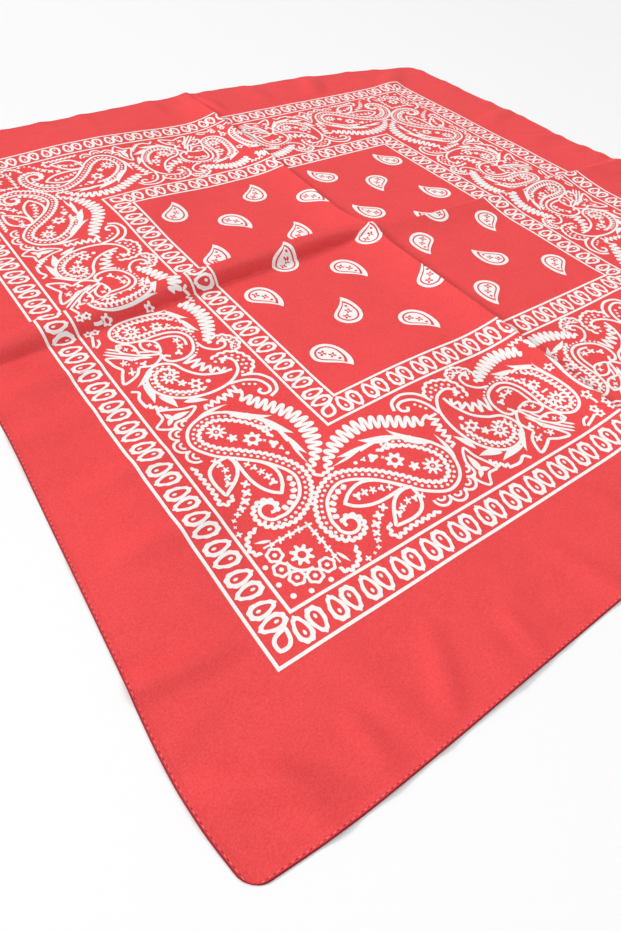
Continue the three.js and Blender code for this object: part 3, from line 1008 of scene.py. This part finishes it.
def rosette(angle):
    x = CORNER + ROSETTES_OUT * math.cos(math.radians(angle))
    y = CORNER + ROSETTES_OUT * math.sin(math.radians(angle))
    band = inked(petals(x, y, 4.1, 6, 0.06, angle)) + bare(petals(x, y, 2.6, 6, 0.05, angle))
    return band + dot(x, y, 0.95)


def corner_half():
    """One half of a corner's motifs, below the diagonal; the other half is its mirror image."""
    art = rosette(263) + rosette(301) + dot(-190, -199.3, 1.1) + dot(-180.4, -199.4, 1.1)
    beads = ((-172.6, -191.4, 1.7), (-172.4, -186.8, 2.0), (-172.3, -181.8, 2.2), (-172.2, -177, 2.0))
    for x, y, size in beads:
        art += inked(petals(x, y, size, 4, 0.32, 45 + 9 * x))
    art += leaves(((-170.6, -190), (-168.2, -197), 1.6))
    art += stroke(curve((-172.2, -195), (-172.2, -172.4)), 0.7)
    bracket = curve((-174.6, -197.4), (-171.6, -200), (-167, -199.4), (-163.6, -196.4), (-162.4, -191.8))
    art += stroke(waved(bracket, 3.2), 1.3)
    return art + stroke(waved(curve((-152.6, -152.6), (-148.2, -152.8), (-143.6, -151.8)), 3.0, 0.5), 1.4)


def corner_middle():
    """Motifs on the diagonal."""
    art = flower(CORNER, CORNER, 5.3, 8, 1.9, 45)
    art += stroke(arc(CORNER, CORNER, 7.6, 7.6, 176, 274), 1.2)
    art += rosette(225) + dot(-197.3, -197.3, 1.2)
    return art + inked(petals(-172.4, -172.4, 2.2, 4, 0.3, 0))


# Frames
OUTER_LINES = (219.0, 202.3)  # distances of the lines from the middle
INNER_LINES = (129.0, 113.5)
FRAME_LINE = 1.5
FRAME_STEP = 1.8
RING_WIDTH = 7.3
RING_HEIGHT = 12.8
EYE_WIDTH = 3.8
EYE_HEIGHT = 8.3
RING_ROWS = (  # height, end, pairs of rings, and the middle of the corner's leaf
    (-210.7, 202.7, 25, (-211.2, -210.2)),
    (-121.3, 113.2, 14, (-122.4, -121.0)),
)
CORNER_LEAF_HALF = 3.4
CORNER_LEAF_WIDTH = 6.2


def teardrop(width, height, bumps=0, depth=0.0, points=36):
    """Drop with its point up, round the origin."""
    angle = np.arange(points) * 2 * math.pi / points
    swell = 1 + depth * np.cos(bumps * angle)
    x = width / 2 * np.sin(angle) * (1 - 0.3 * np.cos(angle)) * swell
    y = height / 2 * np.cos(angle) * swell
    return np.stack([x, y], 1)


def oval(x, y, up):
    """Ring of the frames: a bumpy drop with a drop-shaped eye and a seed in it."""
    art = inked(teardrop(RING_WIDTH, RING_HEIGHT, 9, 0.045))
    art += bare(teardrop(EYE_WIDTH, EYE_HEIGHT, points=20))
    art += inked(petals(0, -1.7, 1.15, 1, 0, stretch=0.6, lean=90))
    return moved(art, ((1, 0), (0, up)), (x, y))


def frame_rows():
    """South side of both frames: two lines and a row of rings each."""
    art = []
    for reach in OUTER_LINES + INNER_LINES:
        out, into = reach + FRAME_LINE / 2, reach - FRAME_LINE / 2
        outer = even(np.array([[-out, -out], [out, -out]]), FRAME_STEP)
        inner = even(np.array([[into, -into], [-into, -into]]), FRAME_STEP)
        art += inked(np.r_[outer, inner])
    for row, end, pairs, (leaf_x, leaf_y) in RING_ROWS:
        pitch = (2 * end - RING_WIDTH) / (pairs - 1)
        for k in range(pairs):
            first = -end + pitch * k
            art += oval(first, row, 1) + oval(first + RING_WIDTH, row, -1)
        tail = (leaf_x - CORNER_LEAF_HALF, leaf_y - CORNER_LEAF_HALF)
        tip = (leaf_x + CORNER_LEAF_HALF, leaf_y + CORNER_LEAF_HALF)
        art += leaf_line(tail, tip, CORNER_LEAF_WIDTH)
    return art


# Middle field
FIELD_ROWS = (  # height of the row, places along it, and whether its drops point up
    (89.5, (-97.2, -33.2, 33.4, 99.2), 1),
    (62.5, (-66.3, -1.2, 65.4), -1),
    (29.8, (-99.8, -35.8, 30.6, 95.8), 1),
    (-21.8, (-98.4, -34.4, 35.2, 98.4), -1),
    (-58.4, (-63.6, 1.2, 64.0), 1),
    (-86.0, (-96.8, -32.6, 32.4, 97.4), -1),
)
FOLD_ROW = (  # x, y, share of the height, and lean
    (-65.5, 3.4, 0.92, -6),
    (0.6, 0.6, 0.92, -18),
    (65.0, 1.5, 1.0, 0),
)
MIRROR_FROM = 10  # drops right of this x are mirrored
DROP_GAP = (0.76, 0.64)  # edges of the bare line inside a drop, as shares of its size


def comma(x, y, up, squash=1.0, lean=0.0):
    """Curled drop with a line and small figures in it."""
    drop = np.concatenate([
        bow((5.8, 15.4), (9.3, 12.2), (10.2, 6.2), (9.4, 0)),
        bow((9.4, 0), (8.2, -5.8), (4.2, -9.3), (-0.4, -9.3)),
        bow((-0.4, -9.3), (-6.0, -9.3), (-9.6, -5.6), (-9.6, -0.6)),
        bow((-9.6, -0.6), (-9.6, 5.0), (1.6, 7.0), (5.8, 15.4)),
    ])
    art = inked(drop) + bare(drop * DROP_GAP[0]) + inked(drop * DROP_GAP[1])
    for eye_x, eye_y, radius in ((-2.3, -2.1, 2.6), (1.8, 1.9, 2.4)):
        art += bare(petals(eye_x, eye_y, radius, 4, 0.3, 45)) + inked(disc(eye_x, eye_y, 0.6))
    art = moved(art + bare(disc(3.5, 6.4, 1.0)), UNTURNED, (1.4, -1.6))
    c, s = math.cos(math.radians(lean)), math.sin(math.radians(lean))
    side = 1 if x < MIRROR_FROM else -1
    turn = np.array(((c, -s), (s, c))) @ np.array(((side, 0), (0, up * squash)))
    return moved(art, turn, (x, y))


def field_art():
    art = []
    for y, places, up in FIELD_ROWS:
        for x in places:
            art += comma(x, y, up)
    for x, y, squash, lean in FOLD_ROW:
        art += comma(x, y, 1, squash, lean)
    return art


HALF_SIDE = (
    big_paisley, spiral_leaves, long_comb, tulip, middle_paisley, dotted_fan, double_hook,
    three_lobes, end_paisley, short_comb, curl_fan, side_middle, corner_half,
)


def side_art():
    """Whole south side of the band, with the corner on its left."""
    half = [shape for motif in HALF_SIDE for shape in motif()]
    return half + moved(half, MIRROR) + middle_flowers() + corner_middle() + frame_rows()


# Print as thin ink lying on the cloth
PRINT_CENTRE = (-4.25, -1.0)
INK_LIFT = 0.12
PLACE_ROUNDS = 14  # corrections that find a grid point
CUT_ZONE = (-27.5, 11.8)  # stations whose grid lines are cut into the print
CUT_REACH = 232.0
CUT_STEP = 4.0
CUT_MARGIN = 5.0  # round the art
JOIN_DISTANCE = 1e-5


def grid_place(x, y):
    """Grid point (s, t) of a place on the plane."""
    s, t = x.copy(), y.copy()
    for _ in range(PLACE_ROUNDS):
        there_x, there_y = plan_point(s, t)
        s, t = s + x - there_x, t + y - there_y
    return s, t


def on_cloth(x, y, lift):
    """Points just above the mesh of the cloth's upper face, and the cloth's normals there."""
    s, t = grid_place(x, y)
    i = np.clip(np.searchsorted(GRID, s, "right") - 1, 0, len(GRID) - 2)
    j = np.clip(np.searchsorted(GRID, t, "right") - 1, 0, len(GRID) - 2)
    u = ((s - GRID[i]) / (GRID[i + 1] - GRID[i]))[:, None]
    v = ((t - GRID[j]) / (GRID[j + 1] - GRID[j]))[:, None]
    near = UPPER_FACE[j, i] * (1 - u) + UPPER_FACE[j, i + 1] * u
    far = UPPER_FACE[j + 1, i] * (1 - u) + UPPER_FACE[j + 1, i + 1] * u
    normal = cloth_normal(x, y)
    return near * (1 - v) + far * v + normal * lift, normal


def fold_lines(low, high):
    """Grid lines of the cloth beside both folds, within a box of the plane."""
    along = np.arange(-CUT_REACH, CUT_REACH + 0.1, CUT_STEP)
    lines = []
    for station in GRID[(GRID > CUT_ZONE[0]) & (GRID < CUT_ZONE[1])]:
        at = np.full_like(along, station)
        for s, t in ((at, along), (along, at)):
            line = np.stack(plan_point(s, t), 1)
            kept = np.all((line > low - CUT_MARGIN) & (line < high + CUT_MARGIN), axis=1)
            if kept.sum() > 1:
                lines.append(line[kept])
    return lines


def winding(points, loop):
    """How many times a loop goes round each point."""
    a, b = loop[:, None], np.roll(loop, -1, 0)[:, None]
    side = (b[..., 0] - a[..., 0]) * (points[:, 1] - a[..., 1])
    side -= (points[:, 0] - a[..., 0]) * (b[..., 1] - a[..., 1])
    up = (a[..., 1] <= points[:, 1]) & (b[..., 1] > points[:, 1]) & (side > 0)
    down = (a[..., 1] > points[:, 1]) & (b[..., 1] <= points[:, 1]) & (side < 0)
    return up.sum(0) - down.sum(0)


def ink_mesh(name, art):
    """Flat motifs cut into triangles and laid on the cloth."""
    everything = np.concatenate([loop for _, loop in art])
    points, edges = [], []
    for _, loop in art:
        start = len(points)
        points.extend(loop.tolist())
        edges.extend((start + k, start + (k + 1) % len(loop)) for k in range(len(loop)))
    for line in fold_lines(everything.min(0), everything.max(0)):
        start = len(points)
        points.extend(line.tolist())
        edges.extend((start + k, start + k + 1) for k in range(len(line) - 1))
    cut = delaunay_2d_cdt([Vector(p) for p in points], edges, [], 0, JOIN_DISTANCE, False)
    flat = np.array([tuple(p) for p in cut[0]])
    triangles = np.array(cut[2])
    middles = flat[triangles].mean(1)
    white = np.zeros(len(triangles), bool)
    for sign, loop in art:
        near = np.all((middles > loop.min(0)) & (middles < loop.max(0)), axis=1).nonzero()[0]
        white[near[winding(middles[near], loop) != 0]] = sign > 0
    used, faces = np.unique(triangles[white], return_inverse=True)
    places, normal = on_cloth(flat[used, 0], flat[used, 1], INK_LIFT)
    ink = mesh_object(name, places, faces.reshape(-1, 3).tolist(), print_white)
    ink.data.normals_split_custom_set_from_vertices(normal.tolist())
    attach(ink, "root")


print_white = cloth_material("print_white", (0.95, 0.93, 0.91), (0.9, 0.8, 0.78), weave=0.5)
south = side_art()
for turns, name in enumerate(("print_near_right", "print_far_right", "print_far_left", "print_near_left")):
    c, s = quarter_turns(turns)
    ink_mesh(name, moved(south, ((c, -s), (s, c)), PRINT_CENTRE))
ink_mesh("print_field", moved(field_art(), UNTURNED, PRINT_CENTRE))


# Floor
FLOOR_HALF = 4000.0
FLOOR_WHITE = (0.925, 0.925, 0.925)
FLOOR_ROUGHNESS = 0.6


def make_floor():
    material = bpy.data.materials.new("floor_white")
    material.use_nodes = True
    shader = material.node_tree.nodes["Principled BSDF"]
    shader.inputs["Base Color"].default_value = (*FLOOR_WHITE, 1)
    shader.inputs["Roughness"].default_value = FLOOR_ROUGHNESS
    corners = [(x * FLOOR_HALF, y * FLOOR_HALF, 0) for x, y in ((-1, -1), (1, -1), (1, 1), (-1, 1))]
    floor = mesh_object("floor", corners, [(0, 1, 2, 3)], material, smooth=False)


make_floor()


# Light
LAMPS = (  # name, place and width in metres, and power
    ("window", (-5.9, 4.3, 3.1), 1.7, 510),
    ("overhead", (1.0, 0.6, 4.0), 5.0, 84),
    ("fill", (-2.4, -4.2, 2.6), 2.0, 60),
)
WORLD_STRENGTH = 0.31


def area_light(name, place, width, power):
    data = bpy.data.lights.new(name, "AREA")
    data.shape = "DISK"
    data.size = width
    data.energy = power
    light = bpy.data.objects.new(name, data)
    light.location = place
    light.rotation_euler = (-Vector(place)).to_track_quat("-Z", "Y").to_euler()
    bpy.context.scene.collection.objects.link(light)


for lamp in LAMPS:
    area_light(*lamp)

world = bpy.data.worlds.new("studio")
world.use_nodes = True
world.node_tree.nodes["Background"].inputs["Color"].default_value = (1, 1, 1, 1)
world.node_tree.nodes["Background"].inputs["Strength"].default_value = WORLD_STRENGTH
bpy.context.scene.world = world
bpy.context.scene.view_settings.view_transform = "Standard"
